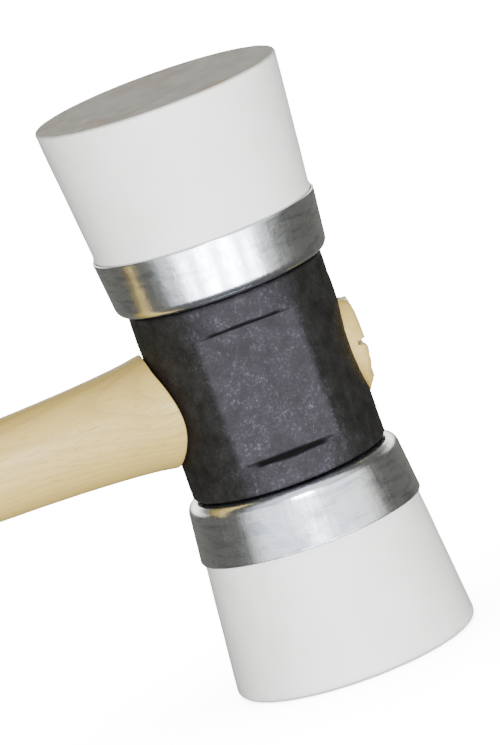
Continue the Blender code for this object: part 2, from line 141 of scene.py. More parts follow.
WOOD_WEDGE_HEIGHT = 25.0 * MM
STEEL_WEDGE_TIP = 12.0 * MM
STEEL_WEDGE_BACK = 2.2 * MM
STEEL_WEDGE_EDGE = 0.8 * MM
STEEL_WEDGE_SINK = 0.8 * MM     # below the notch's floor
STEEL_WEDGE_WIDTH = 17.0 * MM
NOTCH_DEPTH = 2.6 * MM
NOTCH_HEIGHT = 2.2 * MM
TENON_SPREAD = 0.07             # share by which the driven wedges widen the tenon's end
TENON_SAG = 1.6 * MM            # and the drop of its end
TENON_SLANT = 1.8 * MM          # its lower tip stands out less by this
TENON_TEAR = 0.7 * MM           # depth of the torn fibres on its end face
TENON_WAVINESS = 0.3 * MM

# Camera
CAMERA_DISTANCE = 2.1
CAMERA_AZIMUTH = math.radians(-3.5)
CAMERA_ELEVATION = math.radians(10.3)
CAMERA_ROLL = math.radians(19.86)
CAMERA_LENS = 344.0
CAMERA_SENSOR = 36.0
CAMERA_NEAR = 0.05
CAMERA_FAR = 100.0
CAMERA_ASIDE = -2.0 * MM        # the view's middle, left of the head's middle
CAMERA_ABOVE = 0.6 * MM

# Studio. Azimuths run from the front towards +X, and a level is the sine of an elevation.
SCREEN_AZIMUTH = math.radians(3.0)
SCREEN_EDGE = (math.radians(77), math.radians(53))      # aside, where it is dark and where it is full
SWEEP_EDGE = (math.radians(67), math.radians(22))
SWEEP_BOOST_EDGE = (math.radians(-36), math.radians(-16))
SCREEN_TOP = (0.36, 0.14)       # levels, from the dim end of each fade to the bright one
SCREEN_FOOT = (-0.32, -0.18)
SWEEP_TOP = (-0.20, -0.32)
SWEEP_FOOT = (-0.52, -0.44)
CEILING_FOOT = (0.45, 0.62)
WINDOW_TOP = (0.42, 0.34)
WINDOW_FOOT = (0.08, 0.18)
FOLD_COUNT = 15.0               # folds of the screen's cloth in a full round
FOLD_OFFSET = math.radians(14)
FOLD_SHARPNESS = 3.0
WINDOW_EDGE = (math.radians(115), math.radians(155))
WARM_EDGE = (math.radians(45), math.radians(75))        # aside, where the light turns from cool to warm
COOL_WHITE = (0.91, 0.95, 1.0)
WARM_WHITE = (1.0, 0.98, 0.86)
SCREEN_STRENGTH = 2.05
SCREEN_TOP_STRENGTH = 0.6
SWEEP_STRENGTH = 26.0
SWEEP_BOOST = 1.6
CEILING_STRENGTH = 0.8
WINDOW_STRENGTH = 3.6
WINDOW_GLOW = 0.06              # of the dim wall around the window
ROOM_STRENGTH = 0.155
KEY_POWER = 86
KEY_SIZE = 0.5
KEY_PLACE = (0.0, -2.4, 0.75)
FLOOR_HALF_SIZE = 12.0
FLOOR_GLOW = (3.0, 16.0)        # emission in a hidden corner and in the open
FLOOR_SHADE_REACH = 80.0 * MM

# Colours, scene-linear
RUBBER_PALE = (0.83, 0.815, 0.775)
RUBBER_DULL = (0.77, 0.755, 0.71)
RUBBER_SPECK = (0.42, 0.40, 0.36)
# Striking faces, held dark grey: partly dirt, partly painted shade
FACE_DIRT_SHADE_DARK = (0.25, 0.235, 0.205)
FACE_DIRT_SHADE_PALE = (0.30, 0.285, 0.265)
FACE_COOL = (0.30, 0.28, 0.305)
FACE_BROWN = (0.235, 0.17, 0.12)
FACE_MARK = (0.22, 0.20, 0.18)
STEEL_PALE = (0.79, 0.82, 0.86)
STEEL_DULL = (0.68, 0.71, 0.75)
STEEL_TARNISH = (0.64, 0.59, 0.50)
STEEL_BRUSHED = (0.33, 0.36, 0.43)
FASTENER_PALE = (0.50, 0.50, 0.49)
FASTENER_DARK = (0.32, 0.31, 0.30)
IRON_DARK = (0.006, 0.0058, 0.0045)
IRON_BROWN = (0.017, 0.016, 0.0155)
# Paler skin of the cheeks: partly wear, partly painted sheen
IRON_WORN_SHEEN_DARK = (0.0185, 0.0168, 0.0197)
IRON_WORN_SHEEN_PALE = (0.031, 0.0282, 0.034)
IRON_GRAIN = (0.20, 0.185, 0.215)
IRON_SCRATCH = (0.16, 0.15, 0.17)
# Painted shadow along the cheeks' ledges
IRON_LEDGE_SHADOW = (0.003, 0.003, 0.003)
# Painted shade around the eye's mouth, where the handle enters
IRON_MOUTH_SHADE = (0.012, 0.007, 0.005)
ASH_PALE = (0.46, 0.33, 0.09)
ASH_DARK = (0.345, 0.235, 0.06)
ASH_PORE = (0.30, 0.18, 0.06)
OAK_PALE = (0.55, 0.42, 0.27)
OAK_DARK = (0.36, 0.25, 0.14)
OAK_PORE = (0.18, 0.12, 0.07)
WOOD_CLOUD = (0.54, 0.37, 0.12)

LOWER = Matrix.Identity(4)
UPPER = Matrix.Translation((0, 0, HEAD_LENGTH)) @ Matrix.Rotation(math.pi, 4, "X")


# ---------------------------------------------------------------- outlines

def filleted(corners, steps=5):
    """Closed outline of (x, y, radius) corners as points, each corner rounded by its radius."""
    points = []
    for index, (x, y, radius) in enumerate(corners):
        corner = Vector((x, y))
        if radius == 0:
            points.append((x, y))
            continue
        before = (Vector(corners[index - 1][:2]) - corner).normalized()
        after = (Vector(corners[(index + 1) % len(corners)][:2]) - corner).normalized()
        half = before.angle(after) / 2
        centre = corner + (before + after).normalized() * radius / math.sin(half)
        start = corner + before * radius / math.tan(half) - centre
        end = corner + after * radius / math.tan(half) - centre
        turn = math.atan2(start.x * end.y - start.y * end.x, start.dot(end))
        for step in range(steps + 1):
            arm = start.copy()
            arm.rotate(Matrix.Rotation(turn * step / steps, 2))
            points.append(tuple(centre + arm))
    return points


def densified(points, longest):
    """The same closed outline with no stretch longer than that."""
    dense = []
    for index, point in enumerate(points):
        following = points[(index + 1) % len(points)]
        run = math.dist(point, following)
        count = max(1, math.ceil(run / longest))
        if point[0] == 0 and following[0] == 0:
            count = 1
        for step in range(count):
            share = step / count
            dense.append((
                point[0] + (following[0] - point[0]) * share,
                point[1] + (following[1] - point[1]) * share,
            ))
    return dense


def smooth_step(value, low, high):
    share = min(1.0, max(0.0, (value - low) / (high - low)))
    return share * share * (3 - 2 * share)


def smooth_lower(first, second, blend):
    """The lower of two values, rounded over where they are within blend of each other."""
    share = max(0.0, blend - abs(first - second)) / blend
    return min(first, second) - share * share * blend / 4


def grain(point, size, octaves=3):
    """Smooth noise of about -1 to 1 whose features are about that size."""
    return noise.fractal(Vector(point) / size, 1.0, 2.0, octaves)


# ---------------------------------------------------------------- pieces

def finish_mesh(name, shape, placement=LOWER, sharp_angle=SHARP_ANGLE):
    bmesh.ops.recalc_face_normals(shape, faces=shape.faces)
    shape.transform(placement)
    mesh = bpy.data.meshes.new(name)
    shape.to_mesh(mesh)
    shape.free()
    mesh.shade_smooth()
    mesh.set_sharp_from_angle(angle=math.radians(sharp_angle))
    return mesh


def turned(name, outline, segments, placement=LOWER, shape=None, sharp_angle=SHARP_ANGLE):
    """Mesh of a closed (radius, depth) outline turned about Z. shape moves each point."""
    mesh = bmesh.new()
    rings = []
    for radius, depth in outline:
        if radius == 0:
            rings.append([mesh.verts.new((0, 0, depth))] * segments)
            continue
        ring = []
        for step in range(segments):
            angle = 2 * math.pi * step / segments
            point = (radius, depth) if shape is None else shape(angle, radius, depth)
            ring.append(mesh.verts.new((point[0] * math.cos(angle), point[0] * math.sin(angle), point[1])))
        rings.append(ring)
    for index, ring in enumerate(rings):
        following = rings[(index + 1) % len(rings)]
        for step in range(segments):
            turn = (step + 1) % segments
            corners = dict.fromkeys((ring[step], ring[turn], following[turn], following[step]))
            if len(corners) > 2:
                mesh.faces.new(list(corners))
    return finish_mesh(name, mesh, placement, sharp_angle)


def lofted(name, sections, sharp_angle=SHARP_ANGLE):
    """Mesh that skins rings of equal point counts and closes both ends."""
    mesh = bmesh.new()
    rings = [[mesh.verts.new(point) for point in section] for section in sections]
    for ring, following in zip(rings, rings[1:]):
        for step in range(len(ring)):
            turn = (step + 1) % len(ring)
            mesh.faces.new((ring[step], ring[turn], following[turn], following[step]))
    for ring in (rings[0], rings[-1]):
        mesh.faces.new(ring)
    return finish_mesh(name, mesh, sharp_angle=sharp_angle)


def oval(x, height, width, segments):
    ring = []
    for step in range(segments):
        angle = 2 * math.pi * step / segments
        ring.append(Vector((x, width / 2 * math.cos(angle), HEAD_MIDDLE + height / 2 * math.sin(angle))))
    return ring


def add_object(name, mesh, material):
    item = bpy.data.objects.new(name, mesh)
    bpy.context.scene.collection.objects.link(item)
    mesh.materials.append(material)
    return item


def add_piece(name, mesh, material, body, node):
    """A piece that stands for one CAD node and rides on its body."""
    piece = add_object(name, mesh, material)
    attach(piece, body)
    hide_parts(node)
    return piece


def carve(piece, cutter_meshes):
    """Cuts the meshes out of the piece and applies the result."""
    cutters = []
    for number, mesh in enumerate(cutter_meshes):
        cutter = bpy.data.objects.new(f"cutter_{number}", mesh)
        bpy.context.scene.collection.objects.link(cutter)
        modifier = piece.modifiers.new(cutter.name, "BOOLEAN")
        modifier.operation = "DIFFERENCE"
        modifier.solver = "EXACT"
        modifier.object = cutter
        cutters.append(cutter)
    evaluated = piece.evaluated_get(bpy.context.evaluated_depsgraph_get())
    carved = bpy.data.meshes.new_from_object(evaluated)
    piece.modifiers.clear()
    piece.data = carved
    for cutter in cutters:
        bpy.data.objects.remove(cutter)
    carved.shade_smooth()
    carved.set_sharp_from_angle(angle=math.radians(SHARP_ANGLE))


# ---------------------------------------------------------------- material nodes

def new_material(name):
    material = bpy.data.materials.new(name)
    material.use_nodes = True
    return material, material.node_tree, material.node_tree.nodes["Principled BSDF"]


def add_node(tree, kind, settings=None, **inputs):
    """New node with its settings, and its inputs set to values or linked to other sockets."""
    node = tree.nodes.new(kind)
    for key, value in (settings or {}).items():
        setattr(node, key, value)
    for key, value in inputs.items():
        connect(tree, value, node.inputs[key.replace("_", " ")])
    return node


def connect(tree, value, socket):
    if isinstance(value, bpy.types.NodeSocket):
        tree.links.new(value, socket)
    else:
        socket.default_value = value


def mixed(tree, factor, first, second):
    """Colour between first and second."""
    node = tree.nodes.new("ShaderNodeMix")
    node.data_type = "RGBA"
    colour_sockets = [socket for socket in node.inputs if socket.type == "RGBA"]
    for value, socket in zip((factor, first, second), (node.inputs[0], *colour_sockets)):
        connect(tree, (*value, 1.0) if isinstance(value, tuple) else value, socket)
    return [socket for socket in node.outputs if socket.type == "RGBA"][0]


def ranged(tree, value, low, high, to_low=0.0, to_high=1.0):
    """Value mapped from low..high to to_low..to_high, and held there outside."""
    node = add_node(tree, "ShaderNodeMapRange", Value=value, From_Min=low, From_Max=high,
                    To_Min=to_low, To_Max=to_high)
    return node.outputs["Result"]


def computed(tree, operation, first, second=0.0):
    node = tree.nodes.new("ShaderNodeMath")
    node.operation = operation
    connect(tree, first, node.inputs[0])
    connect(tree, second, node.inputs[1])
    return node.outputs[0]


def product(tree, first, *others):
    for other in others:
        first = computed(tree, "MULTIPLY", first, other)
    return first


def total(tree, first, *others):
    for other in others:
        first = computed(tree, "ADD", first, other)
    return first


def distance_from(tree, value, place):
    return computed(tree, "ABSOLUTE", computed(tree, "SUBTRACT", value, place))


def length(tree, first, second):
    """Length of the diagonal over two legs."""
    return computed(tree, "SQRT", total(tree, product(tree, first, first), product(tree, second, second)))


def combined(tree, x, y, z):
    return add_node(tree, "ShaderNodeCombineXYZ", X=x, Y=y, Z=z).outputs[0]


def stretched(tree, scale=(1, 1, 1)):
    """The surface's own coordinates in metres, scaled along each axis."""
    coordinates = add_node(tree, "ShaderNodeTexCoord").outputs["Object"]
    return add_node(tree, "ShaderNodeMapping", Vector=coordinates, Scale=scale).outputs[0]


def noised(tree, size, detail=3.0, roughness=0.5, distortion=0.0, vector=None):
    """Noise of 0 to 1 whose features are about that size in metres."""
    vector = stretched(tree) if vector is None else vector
    return add_node(tree, "ShaderNodeTexNoise", Vector=vector, Scale=1 / size, Detail=detail,
                    Roughness=roughness, Distortion=distortion).outputs["Fac"]


def patches(tree, low, high, strength, **noise_settings):
    """0 outside patches and that strength inside them, fading between the noise's values low and high."""
    return ranged(tree, noised(tree, **noise_settings), low, high, 0.0, strength)


def round_coordinates(tree):
    """(angle in turns, distance from the head's axis, height) of the surface's point."""
    split = add_node(tree, "ShaderNodeSeparateXYZ", Vector=stretched(tree)).outputs
    angle = computed(tree, "DIVIDE", computed(tree, "ARCTAN2", split["Y"], split["X"]), 2 * math.pi)
    return angle, length(tree, split["X"], split["Y"]), split["Z"]


def bumped(tree, shader, *layers):
    """Bump on the shader from (height socket, distance in metres) layers, one over the other."""
    normal = None
    for height, distance in layers:
        bump = add_node(tree, "ShaderNodeBump", Height=height, Distance=distance, Strength=1.0)
        if normal is not None:
            tree.links.new(normal, bump.inputs["Normal"])
        normal = bump.outputs["Normal"]
    tree.links.new(normal, shader.inputs["Normal"])


# ---------------------------------------------------------------- materials

def rubber_material():
    """White moulded rubber; its striking faces are smudged and painted dark grey, partly dirt and partly
    painted shade.
    """
    material, tree, shader = new_material("white_rubber")
    dull = patches(tree, 0.35, 0.70, 1.0, size=14 * MM, detail=4.0)
    specks = patches(tree, 0.70, 0.78, 0.22, size=0.9 * MM, detail=2.0, roughness=0.7)
    colour = mixed(tree, dull, RUBBER_PALE, RUBBER_DULL)
    colour = mixed(tree, specks, colour, RUBBER_SPECK)

    pale = patches(tree, 0.38, 0.66, 1.0, size=16 * MM, detail=5.0, roughness=0.6)
    cool = patches(tree, 0.50, 0.66, 0.7, size=22 * MM, detail=2.0, distortion=0.4)
    brown = patches(tree, 0.52, 0.68, 0.7, size=19 * MM, distortion=0.6)
    marks = patches(tree, 0.60, 0.66, 0.35, size=2.2 * MM, detail=4.0, roughness=0.7, distortion=1.2)
    # The striking faces' colour is painted dark: partly dirt, partly painted shade
    face = mixed(tree, pale, FACE_DIRT_SHADE_DARK, FACE_DIRT_SHADE_PALE)
    for factor, tint in ((cool, FACE_COOL), (brown, FACE_BROWN), (marks, FACE_MARK)):
        face = mixed(tree, factor, face, tint)
    height = round_coordinates(tree)[2]
    from_middle = distance_from(tree, height, HEAD_MIDDLE)
    on_face = ranged(tree, from_middle, HEAD_MIDDLE - 1.1 * MM, HEAD_MIDDLE - 0.1 * MM)
    tree.links.new(mixed(tree, on_face, colour, face), shader.inputs["Base Color"])

    rough = ranged(tree, noised(tree, 5 * MM, 3.0), 0.3, 0.7, 0.50, 0.66)
    tree.links.new(rough, shader.inputs["Roughness"])
    shader.inputs["Specular IOR Level"].default_value = 0.3
    pits = noised(tree, 0.5 * MM, 4.0, 0.6)
    swells = noised(tree, 7 * MM, 2.0)
    bumped(tree, shader, (pits, 0.05 * MM), (swells, 0.25 * MM))
    return material


def cup_material():
    """Bright pressed sheet steel: drawn streaks along the wall, smudges and turned lines around it."""
    material, tree, shader = new_material("pressed_steel")
    angle, radius, height = round_coordinates(tree)
    along = combined(tree, product(tree, angle, 0.2), radius, product(tree, height, 0.06))
    around = combined(tree, product(tree, angle, 0.05), radius, height)
    far_around = combined(tree, product(tree, angle, 0.004), radius, height)
    streaks = noised(tree, 1.1 * MM, 3.0, 0.6, vector=along)
    lines = noised(tree, 0.16 * MM, 2.0, 0.6, vector=far_around)
    clouds = noised(tree, 6 * MM, 4.0, 0.6)

    colour = mixed(tree, ranged(tree, clouds, 0.35, 0.7), STEEL_PALE, STEEL_DULL)
    tarnish = patches(tree, 0.58, 0.74, 0.45, size=11 * MM, detail=4.0, roughness=0.65)
    colour = mixed(tree, tarnish, colour, STEEL_TARNISH)
    smudges = patches(tree, 0.48, 0.66, 0.55, size=2.6 * MM, detail=4.0, roughness=0.7, distortion=0.4,
                      vector=around)
    tree.links.new(mixed(tree, smudges, colour, STEEL_BRUSHED), shader.inputs["Base Color"])
    shader.inputs["Metallic"].default_value = 1.0
    mottled = total(tree, product(tree, streaks, 0.5), product(tree, clouds, 0.5))
    tree.links.new(ranged(tree, mottled, 0.35, 0.65, 0.16, 0.28), shader.inputs["Roughness"])
    dents = noised(tree, 3.5 * MM, 2.0, 0.5, 0.8)
    bumped(tree, shader, (lines, 0.004 * MM), (streaks, 0.014 * MM), (dents, 0.05 * MM))
    return material


def iron_material():
    """Rough dark casting skin, paler and more speckled on the cheeks, partly wear and partly painted sheen,
    with scratches, a painted shadow along the cheeks' ledges and painted shade around the handle's mouth.
    """
    material, tree, shader = new_material("cast_iron")
    coarse = noised(tree, 5 * MM, 5.0, 0.65)
    fine = noised(tree, 0.9 * MM, 4.0, 0.7)
    place = add_node(tree, "ShaderNodeSeparateXYZ", Vector=stretched(tree)).outputs
    outward = computed(tree, "ABSOLUTE", place["Y"])
    from_middle = distance_from(tree, place["Z"], HEAD_MIDDLE)

    cloudy = ranged(tree, coarse, 0.35, 0.7)
    skin = mixed(tree, cloudy, IRON_DARK, IRON_BROWN)
    # Painted sheen: paler where the skin faces front and back, fading as it turns away; partly wear of the
    # flat cheeks
    worn_and_sheen = mixed(tree, cloudy, IRON_WORN_SHEEN_DARK, IRON_WORN_SHEEN_PALE)
    ledge = (LEDGE_MIDDLE - 1 * MM, LEDGE_MIDDLE + 1 * MM)
    worn_sheen_from = ranged(tree, from_middle, *ledge, 25.3 * MM, 23.0 * MM)
    worn_sheen_full = ranged(tree, from_middle, *ledge, 26.1 * MM, 29.0 * MM)
    colour = mixed(tree, ranged(tree, outward, worn_sheen_from, worn_sheen_full), skin, worn_and_sheen)

    # Pale scale specks everywhere, painted stronger on the cheeks as sheen
    grains_and_sheen = product(tree, ranged(tree, fine, 0.54, 0.72), ranged(tree, coarse, 0.42, 0.66),
                     ranged(tree, outward, 23 * MM, 26.3 * MM, 0.12, 0.45))
    colour = mixed(tree, grains_and_sheen, colour, IRON_GRAIN)
    wisps = patches(tree, 0.60, 0.68, 0.35, size=2.6 * MM, detail=5.0, roughness=0.7, distortion=2.2,
                    vector=stretched(tree, (1, 1, 0.45)))
    scratches = product(tree, wisps, ranged(tree, outward, 25 * MM, 26 * MM))
    colour = mixed(tree, scratches, colour, IRON_SCRATCH)
    # Painted shadow: near black along the cheeks' ledges
    from_ledge = distance_from(tree, from_middle, LEDGE_MIDDLE)
    ledge_shadow = product(tree, ranged(tree, from_ledge, 0.85 * MM, 0.45 * MM, 0.0, 0.92),
                   ranged(tree, computed(tree, "ABSOLUTE", place["X"]), 12.5 * MM, 9.5 * MM),
                   ranged(tree, outward, 20 * MM, 21 * MM))
    colour = mixed(tree, ledge_shadow, colour, IRON_LEDGE_SHADOW)
    # Painted shade: dark brown around the eye's mouth on the handle side
    mouth_shade = product(tree, ranged(tree, length(tree, outward, from_middle), 21 * MM, 17 * MM),
                    ranged(tree, place["X"], -20 * MM, -23 * MM), 0.8)
    tree.links.new(mixed(tree, mouth_shade, colour, IRON_MOUTH_SHADE), shader.inputs["Base Color"])

    shader.inputs["Metallic"].default_value = 0.15
    shader.inputs["Specular IOR Level"].default_value = 0.17
    tree.links.new(ranged(tree, fine, 0.35, 0.7, 0.66, 0.48), shader.inputs["Roughness"])
    bumped(tree, shader, (noised(tree, 2.4 * MM, 5.0, 0.7), 0.5 * MM), (fine, 0.22 * MM))
    return material


def wood_material(name, pale, dark, pore):
    """Straight-grained wood along X: growth rings about an axis beside the piece, fibres and pores."""
    material, tree, shader = new_material(name)
    ring_size = 1.7 * MM
    ring_axis = (65 * MM, HEAD_MIDDLE - 45 * MM)
    along = stretched(tree, (0.035, 1, 1))
    split = add_node(tree, "ShaderNodeSeparateXYZ", Vector=along).outputs
    distance = length(tree, computed(tree, "SUBTRACT", split["Y"], ring_axis[0]),
                      computed(tree, "SUBTRACT", split["Z"], ring_axis[1]))
    warp = product(tree, noised(tree, 22 * MM, 3.0, vector=along), 2 * MM)
    phase = computed(tree, "FRACT", computed(tree, "DIVIDE", total(tree, distance, warp), ring_size))
    late = ranged(tree, phase, 0.55, 0.98)
    colour = mixed(tree, product(tree, late, 0.55), pale, dark)

    fibres = noised(tree, 0.7 * MM, 4.0, 0.7, vector=stretched(tree, (0.012, 1, 1)))
    colour = mixed(tree, ranged(tree, fibres, 0.46, 0.72, 0.0, 0.55), colour, dark)
    pores = patches(tree, 0.66, 0.72, 1.0, size=0.32 * MM, detail=1.0, vector=stretched(tree, (0.05, 1, 1)))
    holes = product(tree, pores, computed(tree, "SUBTRACT", 1.0, late))
    colour = mixed(tree, product(tree, holes, 0.55), colour, pore)
    clouds = patches(tree, 0.35, 0.70, 0.30, size=30 * MM, vector=stretched(tree, (0.3, 1, 1)))
    tree.links.new(mixed(tree, clouds, colour, WOOD_CLOUD), shader.inputs["Base Color"])

    tree.links.new(ranged(tree, fibres, 0.3, 0.8, 0.36, 0.52), shader.inputs["Roughness"])
    shader.inputs["Specular IOR Level"].default_value = 0.32
    bumped(tree, shader, (holes, -0.06 * MM), (fibres, 0.03 * MM))
    return material


def steel_material():
    """Plain machined steel of the fasteners, clouded a little darker in patches."""
    material, tree, shader = new_material("plain_steel")
    clouds = noised(tree, 4 * MM, 4.0, 0.65)
    colour = mixed(tree, ranged(tree, clouds, 0.35, 0.68), FASTENER_PALE, FASTENER_DARK)
    tree.links.new(colour, shader.inputs["Base Color"])
    shader.inputs["Metallic"].default_value = 1.0
    tree.links.new(ranged(tree, clouds, 0.3, 0.7, 0.30, 0.50), shader.inputs["Roughness"])
    bumped(tree, shader, (noised(tree, 0.3 * MM, 3.0, 0.6), 0.02 * MM))
    return material


def floor_material():
    """White floor that glows evenly, with a painted contact shadow right around what stands on it."""
    material, tree, shader = new_material("pale_floor")
    shader.inputs["Base Color"].default_value = (0.8, 0.8, 0.8, 1.0)
    shader.inputs["Roughness"].default_value = 0.9
    shader.inputs["Emission Color"].default_value = (1.0, 1.0, 1.0, 1.0)
    # Painted contact shadow: less glow where the floor is hidden
    openness = add_node(tree, "ShaderNodeAmbientOcclusion", {"samples": 8}, Distance=FLOOR_SHADE_REACH)
    glow = ranged(tree, openness.outputs["AO"], 0.0, 1.0, *FLOOR_GLOW)
    tree.links.new(glow, shader.inputs["Emission Strength"])
    return material


# ---------------------------------------------------------------- head casting

def cheek_depth(height):
    """Distance of the cheek surface from the head's axis at that height; large where there is none."""
    from_middle = abs(height - HEAD_MIDDLE)
    slope = (BODY_RADIUS - CHEEK_DISTANCE) / CHEEK_LEDGE_RUN
    return CHEEK_DISTANCE + max(0.0, from_middle - CHEEK_HALF_HEIGHT) * slope


def casting_surface(angle, radius, depth):
    """Point of the casting: round, with flat cheeks and a rough skin."""
    facing = max(abs(math.sin(angle)), 0.05)
    limited = smooth_lower(radius, cheek_depth(depth) / facing, CHEEK_EDGE_BLEND)
    point = (radius * math.cos(angle), radius * math.sin(angle), depth)
    rough = CAST_SWELLS * (grain(point, 9 * MM) - 1) + CAST_GRIT * grain(point, 1.6 * MM)
    share = smooth_step(radius, COUNTERBORE_RADIUS, COUNTERBORE_RADIUS + 2 * MM)
    return limited + rough * share, depth


def casting_mesh():
    corners = [
        (0, BODY_END + BORE_DEPTH, 0),
        (BORE_RADIUS, BODY_END + BORE_DEPTH, 0),
        (BORE_RADIUS, BODY_END + COUNTERBORE_DEPTH, 0.4 * MM),
        (COUNTERBORE_RADIUS, BODY_END + COUNTERBORE_DEPTH, 0.2 * MM),
        (COUNTERBORE_RADIUS, BODY_END, 0.4 * MM),
        (BODY_RADIUS, BODY_END, BODY_END_ROUNDING),
    ]
    corners += [(radius, HEAD_LENGTH - depth, fillet) for radius, depth, fillet in reversed(corners)]
    outline = densified(filleted(corners), CASTING_STRETCH)
    return turned("head_casting_skin", outline, CASTING_SEGMENTS, shape=casting_surface, sharp_angle=60)


def eye_mesh():
    """Oval eye through the casting, flared at both mouths."""
    mouth = math.sqrt(BODY_RADIUS ** 2 - (EYE_WIDTH / 2) ** 2)
    outside = 40 * MM
    straight = mouth - 1.5 * MM
    flares = (
        (-outside, 9.0 * MM),
        (-mouth, 0.5 * MM),
        (-straight, 0.0),
        (straight, 0.0),
        (mouth, 0.4 * MM),
        (outside, 8.5 * MM),
    )
    sections = []
    for x, flare in flares:
        sections.append(oval(x, EYE_HEIGHT + 2 * flare, EYE_WIDTH + 2 * flare, EYE_SEGMENTS))
    return lofted("eye", sections)


def make_casting(material):
    piece = add_piece("cast_head_body", casting_mesh(), material, "head", "head_casting")
    carve(piece, [eye_mesh()])


# ---------------------------------------------------------------- handle

def handle_sizes():
    """Rows of (x, height, width): the CAD's rings along the grip, then the flare of the shoulder."""
    rings = {}
    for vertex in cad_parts["handle"].data.vertices:
        if GRIP_END - 0.1 * MM < vertex.co.x < SHOULDER_START:
            ring = rings.setdefault(round(vertex.co.x, 5), [0.0, 0.0])
            ring[0] = max(ring[0], 2 * abs(vertex.co.z - HEAD_MIDDLE))
            ring[1] = max(ring[1], 2 * abs(vertex.co.y))
    return [(x, *rings[x]) for x in sorted(rings)] + list(SHOULDER_FLARE)


def curved_value(places, values, place):
    """Smooth curve through the values at increasing places."""
    index = max(1, min(len(places) - 1, sum(known <= place for known in places)))
    run = places[index] - places[index - 1]
    share = (place - places[index - 1]) / run

    def slope(at):
        before, after = max(0, at - 1), min(len(places) - 1, at + 1)
        return (values[after] - values[before]) / (places[after] - places[before])

    square = share * share
    cube = square * share
    rise = 3 * square - 2 * cube
    start = (cube - 2 * square + share) * slope(index - 1)
    end = (cube - square) * slope(index)
    return (1 - rise) * values[index - 1] + rise * values[index] + (start + end) * run


def size_at(sizes, x):
    """(height, width) of the handle at x, from its rows of sizes."""
    places, heights, widths = zip(*sizes)
    return curved_value(places, heights, x), curved_value(places, widths, x)


def beside_casting(y, distance):
    """X of the point at that distance from the casting's handle side."""
    return -math.sqrt(BODY_RADIUS ** 2 - y ** 2) - distance


def shoulder_ring(sizes, share, turn):
    """Ring of the flared shoulder: flat at share 0, following the casting at share 1.

    turn goes from 0 to a right angle over the edge that meets the casting.
    """
    ring = []
    for step in range(HANDLE_SEGMENTS):
        angle = 2 * math.pi * step / HANDLE_SEGMENTS
        upward = math.sin(angle)
        above = smooth_step(upward, -1, 1)
        rounding = SHOULDER_ROUNDING_BELOW + (SHOULDER_ROUNDING_ABOVE - SHOULDER_ROUNDING_BELOW) * above
        inset = rounding * (1 - math.cos(turn))
        crevice = SHOULDER_CREVICE * smooth_step(upward, -0.5, 0.5) * (1 - smooth_step(upward, 0.7, 1.0))
        distance = rounding * (1 - math.sin(turn)) + crevice + GAP
        fullness = 1 - SHOULDER_LEAN * upward * share
        x = SHOULDER_START
        for _ in range(4):      # x and the width depend on each other, and settle in a few rounds
            height, width = size_at(sizes, x)
            y = (width / 2 * fullness - inset) * math.cos(angle)
            x = SHOULDER_START + (beside_casting(y, distance) - SHOULDER_START) * share
        ring.append(Vector((x, y, HEAD_MIDDLE + (height / 2 - inset) * upward)))
    return ring


def quarter_turn(steps):
    """Angles over a rounded edge, without the one where the straight side ends."""
    return [math.pi / 2 * step / steps for step in range(1, steps + 1)]


def grip_sections(sizes):
    """Rings over the rounded butt and along the grip."""
    height, width = size_at(sizes, GRIP_END)
    sections = []
    for angle in [0.0] + quarter_turn(BUTT_STEPS):
        inset = BUTT_ROUNDING * (1 - math.sin(angle))
        x = GRIP_END - BUTT_ROUNDING * math.cos(angle)
        sections.append(oval(x, height - 2 * inset, width - 2 * inset, HANDLE_SEGMENTS))
    run = SHOULDER_START - GRIP_END
    count = round(run / HANDLE_SPACING)
    for step in range(1, count + 1):
        x = GRIP_END + run * step / count
        sections.append(oval(x, *size_at(sizes, x), HANDLE_SEGMENTS))
    return sections


def shoulder_sections(sizes):
    flare = [shoulder_ring(sizes, step / SHOULDER_RINGS, 0.0) for step in range(1, SHOULDER_RINGS + 1)]
    edge = [shoulder_ring(sizes, 1.0, angle) for angle in quarter_turn(EDGE_STEPS)]
    return flare + edge


def tenon_sections():
    """Rings of the tenon: beside the casting, along its straight oval and over its rounded end."""
    height = EYE_HEIGHT - 2 * GAP
    width = EYE_WIDTH - 2 * GAP
    straight_end = TENON_END - TENON_ROUNDING_RUN
    collar = oval(0, height, width, HANDLE_SEGMENTS)
    sections = [[Vector((beside_casting(point.y, GAP), point.y, point.z)) for point in collar]]
    for step in range(TENON_RINGS):
        x = TENON_START + (straight_end - TENON_START) * step / (TENON_RINGS - 1)
        sections.append(oval(x, height, width, HANDLE_SEGMENTS))
    for angle in quarter_turn(EDGE_STEPS):
        inset = TENON_ROUNDING * (1 - math.cos(angle))
        x = straight_end + TENON_ROUNDING_RUN * math.sin(angle)
        sections.append(oval(x, height - 2 * inset, width - 2 * inset, HANDLE_SEGMENTS))
    end_height = height - 2 * TENON_ROUNDING
    end_width = width - 2 * TENON_ROUNDING
    for share in (0.8, 0.6, 0.4, 0.2):
        sections.append(oval(TENON_END, end_height * share, end_width * share, HANDLE_SEGMENTS))
    return sections


